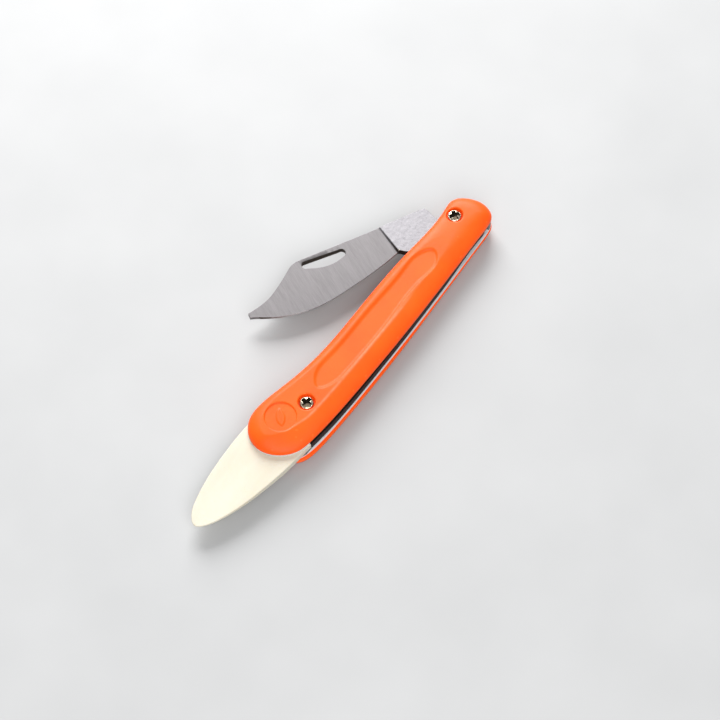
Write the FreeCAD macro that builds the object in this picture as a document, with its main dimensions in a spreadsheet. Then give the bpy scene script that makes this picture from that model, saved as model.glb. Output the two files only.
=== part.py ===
import FreeCAD, Part
import math
import os

import Sketcher

# Folding grafting knife, drawn half open and lying on its rear scale.
#
# The part's own frame, in millimetres:
#   origin  on the pivot axis, in the plane of the rear scale's flat face
#   +X      from the pivot screw to the tail screw
#   +Y      towards the back spring
#   +Z      up through the layers, out of the front scale
#
# The handle is a stack: rear scale, rear liner, the centre layer (blade, back
# spring and bark lifter), front liner, front scale.  Two machine screws with
# nuts hold the stack, and three rivets under the scales hold the spring and
# the lifter to the liners.

doc = FreeCAD.newDocument("grafting_knife")

# ---------------------------------------------------------------- sizes

SIZES = [
    ("screw_pitch", 88.9, "pivot screw to tail screw"),
    ("scale_thick", 4.0, "moulded scale, parting face to flat top"),
    ("liner_thick", 0.7, "steel liner"),
    ("centre_gap", 3.1, "space between the liners"),
    ("wall_land", 0.7, "straight wall of a scale above its parting face"),
    ("recess_deep", 0.45, "long finger recess in a scale"),
    ("medallion_radius", 5.4, "round recess at the tail of the front scale"),
    ("medallion_deep", 0.4, "depth of that round recess"),
    ("leaf_rise", 0.25, "raised leaf on the floor of the round recess"),
    ("seat_radius", 2.95, "counterbore for a screw head"),
    ("seat_deep", 1.5, "depth of that counterbore"),
    ("nut_pocket_flats", 5.8, "hexagonal pocket for a nut, across its flats"),
    ("nut_pocket_deep", 2.6, "depth of that pocket"),
    ("nut_flats", 5.5, "nut, across its flats"),
    ("nut_high", 2.2, "height of a nut"),
    ("shank_radius", 1.45, "machine screw shank"),
    ("shank_long", 10.4, "machine screw below its head"),
    ("shank_hole_radius", 1.55, "hole for a screw shank"),
    ("head_radius", 2.45, "machine screw head"),
    ("head_high", 1.3, "height of that head"),
    ("cross_long", 3.4, "cross recess, tip to tip"),
    ("cross_wide", 0.95, "width of one slot of the cross recess"),
    ("cross_deep", 0.9, "depth of the cross recess"),
    ("bush_radius", 2.5, "sleeve that the blade turns on"),
    ("pivot_play", 0.05, "radial running clearance of the blade on the sleeve"),
    ("rivet_radius", 1.25, "rivet shank"),
    ("rivet_hole_radius", 1.27, "hole for a rivet shank"),
    ("rivet_head_radius", 1.9, "rivet head"),
    ("rivet_head_high", 0.45, "height of a rivet head"),
    ("head_relief_radius", 2.1, "recess over a rivet head in a scale's inner face"),
    ("head_relief_deep", 0.6, "depth of that recess"),
    ("blade_stock", 2.7, "thickness of the tang"),
    ("tang_radius", 5.0, "round of the tang under the spring"),
    ("grind_root", 2.1, "ground blade's thickness where the grind starts at the spine"),
    ("grind_tilt", 3.8, "slope of each ground face, degrees"),
    ("lifter_taper", 2.1, "slope of each face of the bark lifter, degrees"),
]

sheet = doc.addObject("Spreadsheet::Sheet", "sizes")
for row, (alias, value, meaning) in enumerate(SIZES, 1):
    sheet.set("A%d" % row, meaning)
    sheet.set("B%d" % row, str(value))
    sheet.setAlias("B%d" % row, alias)
doc.recompute()


def size(alias):
    """The number in the sheet's cell of that name."""
    return float(sheet.get(alias))


# Heights of the layers above the resting plane, as expressions on the sheet.
REAR_PARTING = "sizes.scale_thick"
CENTRE_FLOOR = "sizes.scale_thick + sizes.liner_thick"
CENTRE_ROOF = CENTRE_FLOOR + " + sizes.centre_gap"
FRONT_PARTING = CENTRE_ROOF + " + sizes.liner_thick"
BLADE_FLOOR = CENTRE_FLOOR + " + (sizes.centre_gap - sizes.blade_stock) / 2"

# ---------------------------------------------------------------- outlines

# Belly side of both scales, from the tail round to the pivot end.
BELLY = [
    (110.4, -0.4), (110.8, -5.2), (108.2, -10.2), (103.2, -13.0), (97.2, -13.0),
    (90.3, -11.5), (80.3, -9.2), (70.5, -7.8), (50.6, -7.0), (20.7, -5.8), (-1.0, -4.9),
    (-5.0, -5.0), (-7.3, -3.9), (-9.3, -1.2),
]
# Back of the front half, and of the rear half, which stands a little prouder.
FRONT_BACK = [
    (-10.8, 4.1), (-9.9, 8.1), (-8.1, 10.3), (-4.9, 11.1), (0.8, 11.2), (13.1, 11.3),
    (30.1, 11.4), (50.1, 11.3), (70.1, 10.7), (90.1, 9.6), (98.1, 8.7), (104.0, 7.2),
    (108.0, 3.9),
]
REAR_BACK = [
    (-10.8, 4.2), (-9.9, 8.3), (-8.0, 10.6), (-4.9, 11.4), (0.8, 11.6), (13.1, 11.8),
    (30.1, 12.1), (48.1, 12.4), (69.1, 12.2), (84.1, 11.7), (92.1, 11.3), (99.0, 10.6),
    (104.5, 8.7), (108.1, 4.3),
]
# Back of the rear liner: the rear half stands proud of it towards the tail.
REAR_LINER_BACK = [
    (-10.8, 4.2), (-9.9, 8.2), (-8.0, 10.4), (-4.9, 11.2), (0.8, 11.4), (13.1, 11.6),
    (30.1, 11.8), (48.1, 11.8), (69.1, 11.5), (84.1, 11.0), (92.1, 10.5), (98.6, 9.7),
    (104.4, 7.8), (108.1, 4.2),
]
FRONT_OUTLINE = FRONT_BACK + BELLY
REAR_OUTLINE = REAR_BACK + BELLY

# Long finger recess moulded into the crown of each scale.
RECESS_OUTLINE = [
    (16.0, 1.9), (18.3, 4.9), (27.0, 5.2), (49.0, 4.9), (71.0, 4.2), (79.0, 2.7),
    (82.3, -0.2), (80.0, -3.0), (70.5, -3.9), (49.0, -3.1), (29.0, -2.3), (19.0, -1.1),
]

MEDALLION_CENTRE = (98.3, -3.9)
RIVETS = {
    "spring_rivet_middle": (61.1, 8.4),
    "spring_rivet_tail": (93.0, 6.5),
    "lifter_rivet": (102.0, -7.1),
}

# The crown's flat top is the outline drawn in towards this line.
CROWN_ENDS = (-2.0, 102.0)
CROWN_Y = -0.9
CROWN_DIP = 1.5
CROWN_DIP_FROM = 69.0
CROWN_SHRINK = 0.51


def drawn_in(outline, share):
    """The outline moved towards the crown line: 0 is the outline, 1 the flat top."""
    moved = []
    for x, y in outline:
        line_x = min(max(x, CROWN_ENDS[0]), CROWN_ENDS[1])
        dip = max(0.0, (line_x - CROWN_DIP_FROM) / (CROWN_ENDS[1] - CROWN_DIP_FROM))
        line_y = CROWN_Y - CROWN_DIP * dip
        keep = 1.0 - share * (1.0 - CROWN_SHRINK)
        moved.append((line_x + (x - line_x) * keep, line_y + (y - line_y) * keep))
    return moved


def inset(outline, distance):
    """The outline, which runs clockwise, moved inwards along its normals."""
    moved = []
    for index, (x, y) in enumerate(outline):
        before = outline[index - 1]
        after = outline[(index + 1) % len(outline)]
        along = FreeCAD.Vector(after[0] - before[0], after[1] - before[1], 0).normalize()
        moved.append((x + along.y * distance, y - along.x * distance))
    return moved


# ---------------------------------------------------------------- building blocks

def point(pair):
    return FreeCAD.Vector(pair[0], pair[1], 0)


def loop(points):
    """A smooth closed curve through the points."""
    curve = Part.BSplineCurve()
    curve.interpolate([point(pair) for pair in points], PeriodicFlag=True)
    return curve


def quarters(points):
    """The same closed curve in four pieces, so that the sections of a loft match."""
    whole = loop(points)
    inner = [whole.parameter(point(points[step * len(points) // 4])) for step in (1, 2, 3)]
    cuts = [whole.FirstParameter] + inner + [whole.LastParameter]
    pieces = []
    for start, end in zip(cuts, cuts[1:]):
        piece = whole.copy()
        piece.segment(start, end)
        pieces.append(piece)
    return pieces


def smooth(points):
    """A smooth open curve through the points."""
    curve = Part.BSplineCurve()
    curve.interpolate([point(pair) for pair in points])
    return curve


def line(start, end):
    return Part.LineSegment(point(start), point(end))


def lines(points):
    return [line(start, end) for start, end in zip(points, points[1:])]


def arc(start, middle, end):
    return Part.Arc(point(start), point(middle), point(end))


def dome(rim, top):
    """An arc round a centre on the axis, from a rim up or down to its top."""
    rise = top - rim[1]
    radius = (rise * rise + rim[0] * rim[0]) / (2 * abs(rise))
    half_turn = math.asin(rim[0] / radius) / 2
    drop = math.copysign(radius * (1 - math.cos(half_turn)), rise)
    return arc(rim, (radius * math.sin(half_turn), top - drop), (0, top))


def new_body(label, height, at_tail_screw=False):
    """A body whose own XY plane is at that height, over the pivot or the tail screw."""
    body = doc.addObject("PartDesign::Body", label)
    body.Label = label
    body.setExpression(".Placement.Base.z", height)
    if at_tail_screw:
        body.setExpression(".Placement.Base.x", "sizes.screw_pitch")
    return body


def new_sketch(body, name, height=None, role="XY_Plane"):
    """A sketch on one of the body's origin planes, raised by an expression."""
    sketch = body.newObject("Sketcher::SketchObject", name)
    planes = [item for item in body.Origin.OriginFeatures if item.Role == role]
    sketch.AttachmentSupport = [(planes[0], "")]
    sketch.MapMode = "FlatFace"
    if height:
        sketch.setExpression(".AttachmentOffset.Base.z", height)
    return sketch


def add_chain(sketch, curves):
    """Adds curves that meet end to end and close: splines are held, the rest tied."""
    splines = [isinstance(curve, Part.BSplineCurve) for curve in curves]
    starts = []
    for index, curve in enumerate(curves):
        sketch.addGeometry(curve, False)
        if splines[index]:
            sketch.addConstraint(Sketcher.Constraint("Block", index))
        # A sketch numbers a clockwise arc's ends the other way round.
        forward = sketch.getPoint(index, 1).isEqual(curve.StartPoint, 1e-6)
        starts.append(1 if forward else 2)
    for index in range(len(curves)):
        following = (index + 1) % len(curves)
        if not (splines[index] and splines[following]):
            tie = (index, 3 - starts[index], following, starts[following])
            sketch.addConstraint(Sketcher.Constraint("Coincident", *tie))


def add_circle(sketch, centre, radius_alias, at_tail_screw=False):
    """Adds a circle whose radius, and place on the screw line, follow the sheet."""
    circle = Part.Circle(point(centre), FreeCAD.Vector(0, 0, 1), size(radius_alias))
    index = sketch.addGeometry(circle, False)
    radius = sketch.addConstraint(Sketcher.Constraint("Radius", index, size(radius_alias)))
    sketch.setExpression("Constraints[%d]" % radius, "sizes." + radius_alias)
    if at_tail_screw:
        along = Sketcher.Constraint("DistanceX", -1, 1, index, 3, centre[0])
        sketch.setExpression("Constraints[%d]" % sketch.addConstraint(along), "sizes.screw_pitch")
        sketch.addConstraint(Sketcher.Constraint("PointOnObject", index, 3, -1))


def add_screw_holes(sketch, radius_alias):
    add_circle(sketch, (0, 0), radius_alias)
    add_circle(sketch, (size("screw_pitch"), 0), radius_alias, at_tail_screw=True)


def add_hexagon(sketch, centre, flats):
    """Adds a regular hexagon with two of its flats along X."""
    corner = flats / math.sqrt(3)
    corners = []
    for step in range(7):
        turn = math.radians(60 * step)
        corners.append((centre[0] + corner * math.cos(turn), centre[1] + corner * math.sin(turn)))
    first = sketch.GeometryCount
    for side in lines(corners):
        sketch.addGeometry(side, False)
    for step in range(6):
        start, end = first + step, first + (step + 1) % 6
        sketch.addConstraint(Sketcher.Constraint("Coincident", start, 2, end, 1))


def add_pad(body, sketch, length, down=False):
    feature = body.newObject("PartDesign::Pad", sketch.Name + "_pad")
    feature.Profile = sketch
    feature.Reversed = down
    feature.setExpression("Length", length)
    return feature


def add_pocket(body, sketch, depth, up=False):
    """Cuts the sketch down into the body, or up into it, and checks that it cut."""
    doc.recompute()
    before = body.Shape.Volume
    feature = body.newObject("PartDesign::Pocket", sketch.Name + "_cut")
    feature.Profile = sketch
    feature.Reversed = up
    feature.setExpression("Length", depth)
    doc.recompute()
    if body.Shape.Volume >= before:
        raise RuntimeError(sketch.Name + " cut nothing")
    return feature


def add_turned(body, sketch):
    """Revolves the sketch round the body's Z axis."""
    feature = body.newObject("PartDesign::Revolution", sketch.Name + "_turned")
    feature.Profile = sketch
    feature.ReferenceAxis = (sketch, ["V_Axis"])
    feature.Angle = 360
    return feature


def add_wedge_cut(body, name, lengths, placement):
    """Cuts away a box that stands at a slant."""
    doc.recompute()
    before = body.Shape.Volume
    box = body.newObject("PartDesign::SubtractiveBox", name)
    box.Length, box.Width, box.Height = lengths
    box.Placement = placement
    doc.recompute()
    if body.Shape.Volume >= before:
        raise RuntimeError(name + " cut nothing")
    return box


# ---------------------------------------------------------------- scales

CROWN_ANGLES = (22.0, 43.0, 62.0)


def crown_height(angle):
    """Height of the crown's section at that angle, as a share of its full rise."""
    return math.sin(math.radians(angle)) / math.sin(math.radians(CROWN_ANGLES[-1]))


def crown_share(angle):
    """How far that section is drawn in, as a share of the whole way to the flat top."""
    full = 1 - math.cos(math.radians(CROWN_ANGLES[-1]))
    return (1 - math.cos(math.radians(angle))) / full


def make_scale(label, outline, parting, up):
    """One moulded scale, its crown up for the front half and down for the rear."""
    sign = "" if up else "-"
    body = new_body(label, parting)
    edge = new_sketch(body, label + "_edge")
    add_chain(edge, quarters(outline))
    add_pad(body, edge, "sizes.wall_land", down=not up)

    sections = []
    for number, angle in enumerate((0.0,) + CROWN_ANGLES):
        height = "%s(sizes.wall_land + (sizes.scale_thick - sizes.wall_land) * %.5f)"
        section = new_sketch(body, "%s_crown_%d" % (label, number), height % (sign, crown_height(angle)))
        add_chain(section, quarters(drawn_in(outline, crown_share(angle))))
        sections.append(section)
    crown = body.newObject("PartDesign::AdditiveLoft", label + "_crown")
    crown.Profile = sections[0]
    crown.Sections = [(section, [""]) for section in sections[1:]]

    top = sign + "sizes.scale_thick"
    recess = new_sketch(body, label + "_recess", top)
    recess.addGeometry(loop(RECESS_OUTLINE), False)
    add_pocket(body, recess, "sizes.recess_deep", up=not up)

    holes = new_sketch(body, label + "_screw_holes", top)
    add_screw_holes(holes, "shank_hole_radius")
    add_pocket(body, holes, "sizes.scale_thick", up=not up)

    reliefs = new_sketch(body, label + "_rivet_reliefs")
    for centre in RIVETS.values():
        add_circle(reliefs, centre, "head_relief_radius")
    add_pocket(body, reliefs, "sizes.head_relief_deep", up=up)
    return body


def make_front_scale():
    """The scale with the counterbored screw seats and the leaf medallion."""
    body = make_scale("front_scale", FRONT_OUTLINE, FRONT_PARTING, up=True)
    seats = new_sketch(body, "screw_seats", "sizes.scale_thick")
    add_screw_holes(seats, "seat_radius")
    add_pocket(body, seats, "sizes.seat_deep")
    medallion = new_sketch(body, "medallion", "sizes.scale_thick")
    add_circle(medallion, MEDALLION_CENTRE, "medallion_radius")
    add_pocket(body, medallion, "sizes.medallion_deep")
    leaf = new_sketch(body, "leaf", "sizes.scale_thick - sizes.medallion_deep")
    middle_x, middle_y = MEDALLION_CENTRE
    tip, stem = (middle_x + 2.6, middle_y + 2.6), (middle_x - 2.6, middle_y - 2.6)
    upper, lower = (middle_x - 1.3, middle_y + 1.3), (middle_x + 1.3, middle_y - 1.3)
    add_chain(leaf, [arc(stem, upper, tip), arc(tip, lower, stem)])
    add_pad(body, leaf, "sizes.leaf_rise")
    return body


def make_rear_scale():
    """The scale that the knife lies on, with a hexagonal pocket for each nut."""
    body = make_scale("rear_scale", REAR_OUTLINE, REAR_PARTING, up=False)
    pockets = new_sketch(body, "nut_pockets", "-sizes.scale_thick")
    for centre_x in (0.0, size("screw_pitch")):
        add_hexagon(pockets, (centre_x, 0.0), size("nut_pocket_flats"))
    add_pocket(body, pockets, "sizes.nut_pocket_deep", up=True)
    return body


# ---------------------------------------------------------------- steel liners

LINER_INSET = 0.1


def make_liner(label, outline, height):
    body = new_body(label, height)
    plate = new_sketch(body, label + "_plate")
    add_chain(plate, quarters(outline))
    add_pad(body, plate, "sizes.liner_thick")
    holes = new_sketch(body, label + "_holes", "sizes.liner_thick")
    add_screw_holes(holes, "shank_hole_radius")
    for centre in RIVETS.values():
        add_circle(holes, centre, "rivet_hole_radius")
    add_pocket(body, holes, "sizes.liner_thick")
    return body


# ---------------------------------------------------------------- centre layer

SPRING_BACK = [
    (-5.2, 9.0), (-4.5, 9.9), (-1.0, 10.5), (19.1, 11.0), (29.1, 11.2), (49.1, 11.3),
    (69.1, 11.0), (79.1, 10.7), (89.1, 10.1), (98.7, 9.0),
]
SPRING_UNDERSIDE = [
    (98.7, 9.0), (98.7, 4.0), (77.0, 4.0), (69.0, 6.5), (12.0, 7.0), (6.0, 5.1), (-4.6, 5.1),
    (-5.2, 9.0),
]


def make_back_spring():
    """The spring bar: its thin end presses on the tang, its foot is riveted."""
    body = new_body("back_spring", CENTRE_FLOOR)
    bar = new_sketch(body, "spring_bar")
    add_chain(bar, [smooth(SPRING_BACK)] + lines(SPRING_UNDERSIDE))
    add_pad(body, bar, "sizes.centre_gap")
    holes = new_sketch(body, "spring_holes", "sizes.centre_gap")
    for rivet in ("spring_rivet_middle", "spring_rivet_tail"):
        add_circle(holes, RIVETS[rivet], "rivet_hole_radius")
    add_pocket(body, holes, "sizes.centre_gap")
    return body


TANG_START = 40.0
TANG_NOTCH = 300.0
HEEL = (20.45, -9.45)
TANG_END = [(1.9, -8.3), (1.4, -9.7), (1.3, -11.9), (3.2, -13.1)]
SPINE = [(20.85, -22.75), (43.1, -35.55)]
CLIP = [
    (43.1, -35.55), (45.75, -36.75), (50.75, -36.5), (56.8, -35.85), (60.8, -35.7),
    (64.75, -36.25), (70.55, -38.05),
]
CUTTING_EDGE = [
    (71.45, -36.65), (69.1, -33.15), (65.2, -28.2), (60.95, -24.5), (56.85, -21.45),
    (52.9, -19.15), (48.7, -17.4), (40.5, -14.6), (32.4, -12.15), (24.45, -10.15), HEEL,
]
THUMB_SLOT_BULGE = [(33.15, -24.2), (36.25, -24.95), (39.25, -26.45), (42.1, -28.85), (44.6, -31.9)]
THUMB_SLOT_ENDS = [(43.0, -34.25), (32.25, -27.2)]
THUMB_SLOT_ROUNDS = [(44.9, -33.9), (31.05, -25.6)]
GRIND_CORNER = (16.3, -20.7)
GRIND_TURN = -20.75
GRIND_BOX = (62.0, 32.0, 3.0)
GRIND_BACKSET = 9.0


def on_tang(angle):
    """A point on the tang's round, by its angle from +X."""
    turn = math.radians(angle)
    return (size("tang_radius") * math.cos(turn), size("tang_radius") * math.sin(turn))


def add_grind(body, name, front):
    """Cuts one flat ground face, from the ricasso's line out to the tip."""
    half = size("grind_root") / 2
    middle = size("blade_stock") / 2
    side = 1 if front else -1
    turn = FreeCAD.Rotation(FreeCAD.Vector(0, 0, 1), GRIND_TURN)
    tilt = FreeCAD.Rotation(FreeCAD.Vector(1, 0, 0), -side * size("grind_tilt"))
    corner = FreeCAD.Vector(GRIND_CORNER[0], GRIND_CORNER[1], middle + side * half)
    drop = 0.0 if front else -GRIND_BOX[2]
    shift = FreeCAD.Placement(FreeCAD.Vector(0, -GRIND_BACKSET, drop), FreeCAD.Rotation())
    placement = FreeCAD.Placement(corner, turn.multiply(tilt)).multiply(shift)
    return add_wedge_cut(body, name, GRIND_BOX, placement)


def make_blade():
    """The blade with its tang, pivot bore, thumb slot and two ground faces."""
    body = new_body("blade", BLADE_FLOOR)
    outline = new_sketch(body, "blade_outline")
    start, notch = on_tang(TANG_START), on_tang(TANG_NOTCH)
    curves = [arc(start, on_tang(180.0), notch)]
    curves += lines([notch] + TANG_END + SPINE)
    curves += [smooth(CLIP), line(CLIP[-1], CUTTING_EDGE[0]), smooth(CUTTING_EDGE)]
    curves += lines([HEEL, (19.35, -6.8), (17.0, -4.2), start])
    add_chain(outline, curves)
    add_pad(body, outline, "sizes.blade_stock")

    slot = new_sketch(body, "thumb_slot", "sizes.blade_stock")
    far, near = THUMB_SLOT_ENDS
    far_round, near_round = THUMB_SLOT_ROUNDS
    add_chain(slot, [
        smooth(THUMB_SLOT_BULGE),
        arc(THUMB_SLOT_BULGE[-1], far_round, far),
        line(far, near),
        arc(near, near_round, THUMB_SLOT_BULGE[0]),
    ])
    add_pocket(body, slot, "sizes.blade_stock")

    bore = new_sketch(body, "pivot_bore", "sizes.blade_stock")
    add_circle(bore, (0, 0), "bush_radius")
    bore.setExpression("Constraints[0]", "sizes.bush_radius + sizes.pivot_play")
    add_pocket(body, bore, "sizes.blade_stock")

    add_grind(body, "front_grind", front=True)
    add_grind(body, "rear_grind", front=False)
    return body


LIFTER_ROOT = [(83.0, -7.4), (83.0, 3.6), (99.0, 3.6), (99.0, 8.8)]
LIFTER_BLADE = [
    (99.0, 8.8), (104.1, 8.2), (108.6, 7.7), (114.5, 6.7), (120.5, 5.4), (129.5, 3.0),
    (136.5, 0.3), (141.6, -2.6), (144.0, -5.8), (141.8, -8.7), (136.3, -10.9), (129.4, -12.2),
    (120.9, -12.9), (107.4, -12.9), (98.9, -11.9), (90.9, -9.9), (83.0, -7.4),
]
LIFTER_TAPER_FROM = 111.0
LIFTER_BOX = (45.0, 40.0, 3.0)


def add_taper(body, name, top):
    """Cuts one sloping face of the lifter, from its root out to its tip."""
    tilt = size("lifter_taper") if top else -size("lifter_taper")
    start_z = size("centre_gap") if top else 0.0
    corner = FreeCAD.Vector(LIFTER_TAPER_FROM, -LIFTER_BOX[1] / 2, start_z)
    slope = FreeCAD.Rotation(FreeCAD.Vector(0, 1, 0), tilt)
    drop = 0.0 if top else -LIFTER_BOX[2]
    shift = FreeCAD.Placement(FreeCAD.Vector(0, 0, drop), FreeCAD.Rotation())
    placement = FreeCAD.Placement(corner, slope).multiply(shift)
    return add_wedge_cut(body, name, LIFTER_BOX, placement)


def make_bark_lifter():
    """The fixed plastic tongue that opens the bark, clamped at the tail."""
    body = new_body("bark_lifter", CENTRE_FLOOR)
    outline = new_sketch(body, "lifter_outline")
    add_chain(outline, lines(LIFTER_ROOT) + [smooth(LIFTER_BLADE)])
    add_pad(body, outline, "sizes.centre_gap")
    holes = new_sketch(body, "lifter_holes", "sizes.centre_gap")
    add_circle(holes, (size("screw_pitch"), 0), "shank_hole_radius", at_tail_screw=True)
    add_circle(holes, RIVETS["lifter_rivet"], "rivet_hole_radius")
    add_pocket(body, holes, "sizes.centre_gap")
    add_taper(body, "upper_taper", top=True)
    add_taper(body, "lower_taper", top=False)
    return body


# ---------------------------------------------------------------- fasteners

TIP_CHAMFER = 0.35
HEAD_EDGE = 0.65


def make_screw(label, turn, at_tail_screw):
    """A domed machine screw with a cross recess, its head on the seat's floor."""
    seat_floor = FRONT_PARTING + " + sizes.scale_thick - sizes.seat_deep"
    body = new_body(label, seat_floor, at_tail_screw)
    body.Placement.Rotation = FreeCAD.Rotation(FreeCAD.Vector(0, 0, 1), turn)
    profile = new_sketch(body, label + "_profile", role="XZ_Plane")
    shank, head = size("shank_radius"), size("head_radius")
    tip, crown = -size("shank_long"), size("head_high")
    corners = [
        (0, crown), (0, tip), (shank - TIP_CHAMFER, tip), (shank, tip + TIP_CHAMFER),
        (shank, 0), (head, 0), (head, HEAD_EDGE),
    ]
    add_chain(profile, lines(corners) + [dome((head, HEAD_EDGE), crown)])
    add_turned(body, profile)
    cross = new_sketch(body, label + "_cross", "sizes.head_high")
    reach, half = size("cross_long") / 2, size("cross_wide") / 2
    outline = []
    for quarter in range(4):
        turned = FreeCAD.Rotation(FreeCAD.Vector(0, 0, 1), 90 * quarter)
        for x, y in ((half, half), (reach, half), (reach, -half)):
            corner = turned.multVec(FreeCAD.Vector(x, -y, 0))
            outline.append((corner.x, corner.y))
    add_chain(cross, lines(outline + outline[:1]))
    add_pocket(body, cross, "sizes.cross_deep")
    return body


NUT_BEVEL = 0.6
NUT_CLEAR = 1.0


def make_nut(label, at_tail_screw):
    """A hexagonal nut in its pocket, against the pocket's floor."""
    floor = "sizes.nut_pocket_deep - sizes.nut_high"
    body = new_body(label, floor, at_tail_screw)
    outline = new_sketch(body, label + "_outline")
    add_hexagon(outline, (0, 0), size("nut_flats"))
    add_circle(outline, (0, 0), "shank_hole_radius")
    add_pad(body, outline, "sizes.nut_high")
    doc.recompute()
    before = body.Shape.Volume
    bevel = new_sketch(body, label + "_bevel", role="XZ_Plane")
    corner, flat = size("nut_flats") / math.sqrt(3), size("nut_flats") / 2
    outside = corner + NUT_CLEAR
    add_chain(bevel, lines([(flat, 0), (outside, 0), (outside, NUT_BEVEL), (flat, 0)]))
    groove = body.newObject("PartDesign::Groove", label + "_bevelled")
    groove.Profile = bevel
    groove.ReferenceAxis = (bevel, ["V_Axis"])
    groove.Angle = 360
    doc.recompute()
    if body.Shape.Volume >= before:
        raise RuntimeError(label + " was not bevelled")
    return body


def make_bush():
    """The sleeve between the liners, which keeps the screw from pinching the tang."""
    body = new_body("pivot_bush", CENTRE_FLOOR)
    ring = new_sketch(body, "bush_ring")
    add_circle(ring, (0, 0), "bush_radius")
    add_circle(ring, (0, 0), "shank_hole_radius")
    add_pad(body, ring, "sizes.centre_gap")
    return body


RIVET_RIM = 0.1


def make_rivet(label, centre):
    """A rivet through both liners, with a low domed head at each end."""
    body = new_body(label, REAR_PARTING)
    body.Placement.Base.x, body.Placement.Base.y = centre
    profile = new_sketch(body, label + "_profile", role="XZ_Plane")
    shank, head, rise = size("rivet_radius"), size("rivet_head_radius"), size("rivet_head_high")
    top = 2 * size("liner_thick") + size("centre_gap")
    low_dome = dome((head, -RIVET_RIM), -rise)
    low_dome.reverse()
    corners = [(head, -RIVET_RIM), (head, 0), (shank, 0)]
    corners += [(shank, top), (head, top), (head, top + RIVET_RIM)]
    high_dome = dome(corners[-1], top + rise)
    add_chain(profile, [low_dome] + lines(corners) + [high_dome, line((0, top + rise), (0, -rise))])
    add_turned(body, profile)
    return body


# ---------------------------------------------------------------- the knife

PIVOT_SCREW_TURN = -35.0
TAIL_SCREW_TURN = -5.0

nodes = [
    make_front_scale(),
    make_rear_scale(),
    make_liner("front_liner", inset(FRONT_OUTLINE, LINER_INSET), CENTRE_ROOF),
    make_liner("rear_liner", inset(REAR_LINER_BACK + BELLY, LINER_INSET), REAR_PARTING),
    make_back_spring(),
    make_blade(),
    make_bark_lifter(),
    make_screw("pivot_screw", PIVOT_SCREW_TURN, at_tail_screw=False),
    make_screw("tail_screw", TAIL_SCREW_TURN, at_tail_screw=True),
    make_nut("pivot_nut", at_tail_screw=False),
    make_nut("tail_nut", at_tail_screw=True),
    make_bush(),
]
for name, centre in RIVETS.items():
    nodes.append(make_rivet(name, centre))
doc.recompute()

for item in doc.Objects:
    if "Invalid" in item.State or "Error" in item.State:
        raise RuntimeError("%s did not recompute: %s" % (item.Name, item.State))
for node in nodes:
    if node.Shape.isNull() or not node.Shape.isValid():
        raise RuntimeError(node.Label + " has no valid shape")

os.makedirs("parts", exist_ok=True)
for node in nodes:
    node.Shape.exportStep("parts/%s.step" % node.Label)
    box = node.Shape.BoundBox
    print("%-20s %9.1f mm3  x %.1f..%.1f  y %.1f..%.1f  z %.2f..%.2f" % (
        node.Label, node.Shape.Volume, box.XMin, box.XMax, box.YMin, box.YMax, box.ZMin, box.ZMax))
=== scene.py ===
import math

import bmesh
import bpy
import numpy as np
from mathutils import Matrix, Vector, geometry


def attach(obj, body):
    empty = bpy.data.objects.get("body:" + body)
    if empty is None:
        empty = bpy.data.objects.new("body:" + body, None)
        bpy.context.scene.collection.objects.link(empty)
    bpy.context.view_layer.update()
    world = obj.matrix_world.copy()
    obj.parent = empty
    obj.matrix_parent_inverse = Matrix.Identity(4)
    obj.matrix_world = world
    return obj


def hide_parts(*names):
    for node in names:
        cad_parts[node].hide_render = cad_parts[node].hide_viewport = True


# Looks of the folding grafting knife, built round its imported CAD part.
#
# Shapes are worked out in millimetres in the part's own frame: +X runs from the
# pivot screw to the tail screw, +Y towards the back spring, +Z up through the
# layers.  Meshes are written in metres.

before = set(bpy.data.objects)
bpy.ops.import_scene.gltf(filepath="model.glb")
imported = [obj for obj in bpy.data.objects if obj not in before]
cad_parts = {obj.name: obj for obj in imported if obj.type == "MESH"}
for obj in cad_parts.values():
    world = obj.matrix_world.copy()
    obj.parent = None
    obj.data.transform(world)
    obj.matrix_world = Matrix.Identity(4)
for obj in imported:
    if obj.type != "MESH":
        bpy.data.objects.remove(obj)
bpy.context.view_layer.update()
MM = 0.001
MM_PER_METRE = 1000.0

# ---------------------------------------------------------------- sizes, in mm

SCREW_PITCH = 88.9
SCREWS = [(0.0, 0.0), (SCREW_PITCH, 0.0)]
RIVETS = [(61.1, 8.4), (93.0, 6.5), (102.0, -7.1)]
REAR_PARTING = 4.0
CENTRE_FLOOR = 4.7
CENTRE_ROOF = 7.8
FRONT_PARTING = 8.5
MID_PLANE = 6.25

SCALE_THICK = 4.0
WALL_LAND = 0.7
CROWN_TOP_ANGLE = math.radians(62.0)
FLANK_BACK = 5.6
FLANK_BELLY = 2.7
FLANK_END = 4.2
FLANK_TAIL_BACK = 8.6
CREASE_BLEND = 0.05
NOSE_BLEND = 0.35
CREASE_HIGHLIGHT_WIDE = 0.42
RECESS_DEEP = 0.5
MEDALLION_CENTRE = (98.3, -3.9)
MEDALLION_RADIUS = 5.4
MEDALLION_DEEP = 0.42
SEAT_RADIUS = 2.95
SEAT_DEEP = 1.5
SHANK_HOLE_RADIUS = 1.55
NUT_POCKET_FLATS = 5.8
NUT_POCKET_DEEP = 2.6
RIVET_HOLE_RADIUS = 1.27
RIVET_RELIEF_RADIUS = 2.1
RIVET_RELIEF_DEEP = 0.6
OUTLINE_STEP = 0.8

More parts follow.
